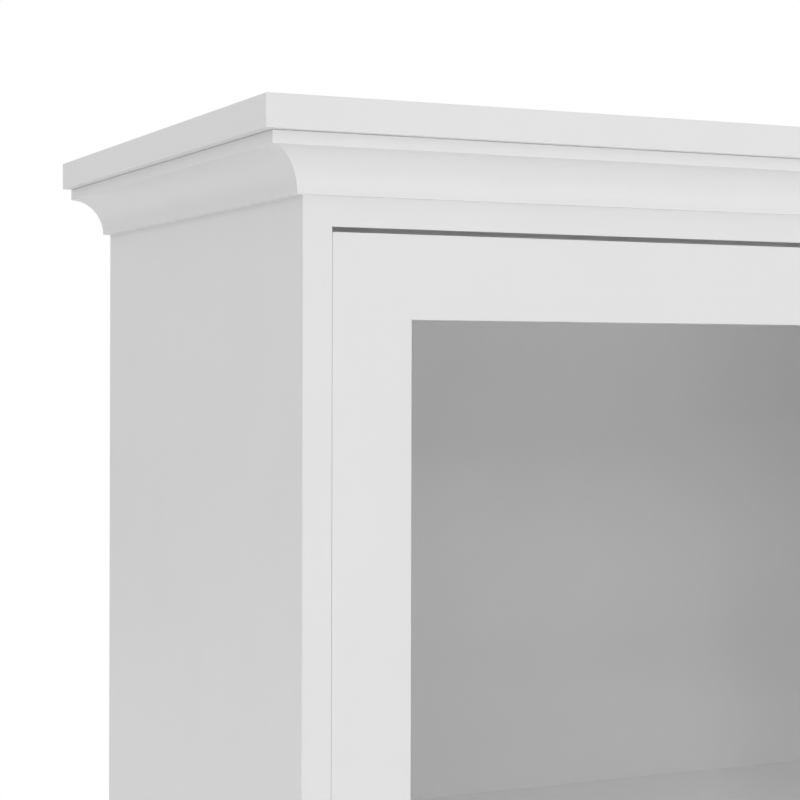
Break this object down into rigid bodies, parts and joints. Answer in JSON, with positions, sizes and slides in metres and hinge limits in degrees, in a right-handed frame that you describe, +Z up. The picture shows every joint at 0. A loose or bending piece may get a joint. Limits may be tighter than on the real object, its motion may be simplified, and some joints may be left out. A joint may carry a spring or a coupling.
{
  "type": "barrister bookcase",
  "caption": "Tall white painted bookcase with stacked glazed doors that lift up and slide back, under a cove crown and a flat top.",
  "frame": {"origin": "on the floor, under the middle of the bookcase's outline, top slab included", "axes": "+X to the right as seen from the front, +Y from the doors towards the back, +Z up"},
  "size_m": [0.915, 0.4226, 1.9313],
  "materials": {
    "white_painted_wood": "smooth satin white paint",
    "clear_glass": "clear, polished",
    "white_vinyl": "matte white",
    "brushed_nickel": "fine brushed",
    "brass": "satin"
  },
  "bodies": {
    "cabinet": {"back_panel": "white_painted_wood", "base_moulding_front": "white_painted_wood", "base_moulding_left": "white_painted_wood", "base_moulding_right": "white_painted_wood", "bottom_panel": "white_painted_wood", "crown_front": "white_painted_wood", "crown_left": "white_painted_wood", "crown_rail_back": "white_painted_wood", "crown_rail_front": "white_painted_wood", "crown_right": "white_painted_wood", "plinth_rail_back": "white_painted_wood", "plinth_rail_front": "white_painted_wood", "shelf_1": "white_painted_wood", "shelf_2": "white_painted_wood", "shelf_3": "white_painted_wood", "side_panel_left": "white_painted_wood", "side_panel_right": "white_painted_wood", "top_panel": "white_painted_wood", "top_slab": "white_painted_wood"},
    "door_1_carriage": {"door_1_pivot_pin_left": "brass", "door_1_pivot_pin_right": "brass"},
    "door_1": {"door_1_glass": "clear_glass", "door_1_glass_retainer": "white_vinyl", "door_1_knob_left": "brushed_nickel", "door_1_knob_right": "brushed_nickel", "door_1_rail_bottom": "white_painted_wood", "door_1_rail_top": "white_painted_wood", "door_1_stile_left": "white_painted_wood", "door_1_stile_right": "white_painted_wood"},
    "door_2_carriage": {"door_2_pivot_pin_left": "brass", "door_2_pivot_pin_right": "brass"},
    "door_2": {"door_2_glass": "clear_glass", "door_2_glass_retainer": "white_vinyl", "door_2_knob_left": "brushed_nickel", "door_2_knob_right": "brushed_nickel", "door_2_rail_bottom": "white_painted_wood", "door_2_rail_top": "white_painted_wood", "door_2_stile_left": "white_painted_wood", "door_2_stile_right": "white_painted_wood"},
    "door_3_carriage": {"door_3_pivot_pin_left": "brass", "door_3_pivot_pin_right": "brass"},
    "door_3": {"door_3_glass": "clear_glass", "door_3_glass_retainer": "white_vinyl", "door_3_knob_left": "brushed_nickel", "door_3_knob_right": "brushed_nickel", "door_3_rail_bottom": "white_painted_wood", "door_3_rail_top": "white_painted_wood", "door_3_stile_left": "white_painted_wood", "door_3_stile_right": "white_painted_wood"},
    "door_4_carriage": {"door_4_pivot_pin_left": "brass", "door_4_pivot_pin_right": "brass"},
    "door_4": {"door_4_glass": "clear_glass", "door_4_glass_retainer": "white_vinyl", "door_4_knob_left": "brushed_nickel", "door_4_knob_right": "brushed_nickel", "door_4_rail_bottom": "white_painted_wood", "door_4_rail_top": "white_painted_wood", "door_4_stile_left": "white_painted_wood", "door_4_stile_right": "white_painted_wood"}
  },
  "joints": [
    {"name": "door_1_slide", "type": "slide", "parent": "cabinet", "child": "door_1_carriage", "axis": [0, 1, 0], "range_m": [0, 0.345]},
    {"name": "door_1_lift", "type": "hinge", "parent": "door_1_carriage", "child": "door_1", "pos_m": [0, -0.16525, 1.84], "axis": [-1, 0, 0], "range_deg": [0, 90]},
    {"name": "door_2_slide", "type": "slide", "parent": "cabinet", "child": "door_2_carriage", "axis": [0, 1, 0], "range_m": [0, 0.345]},
    {"name": "door_2_lift", "type": "hinge", "parent": "door_2_carriage", "child": "door_2", "pos_m": [0, -0.16525, 1.3945], "axis": [-1, 0, 0], "range_deg": [0, 90]},
    {"name": "door_3_slide", "type": "slide", "parent": "cabinet", "child": "door_3_carriage", "axis": [0, 1, 0], "range_m": [0, 0.345]},
    {"name": "door_3_lift", "type": "hinge", "parent": "door_3_carriage", "child": "door_3", "pos_m": [0, -0.16525, 0.949], "axis": [-1, 0, 0], "range_deg": [0, 90]},
    {"name": "door_4_slide", "type": "slide", "parent": "cabinet", "child": "door_4_carriage", "axis": [0, 1, 0], "range_m": [0, 0.345]},
    {"name": "door_4_lift", "type": "hinge", "parent": "door_4_carriage", "child": "door_4", "pos_m": [0, -0.16525, 0.5035], "axis": [-1, 0, 0], "range_deg": [0, 90]}
  ]
}
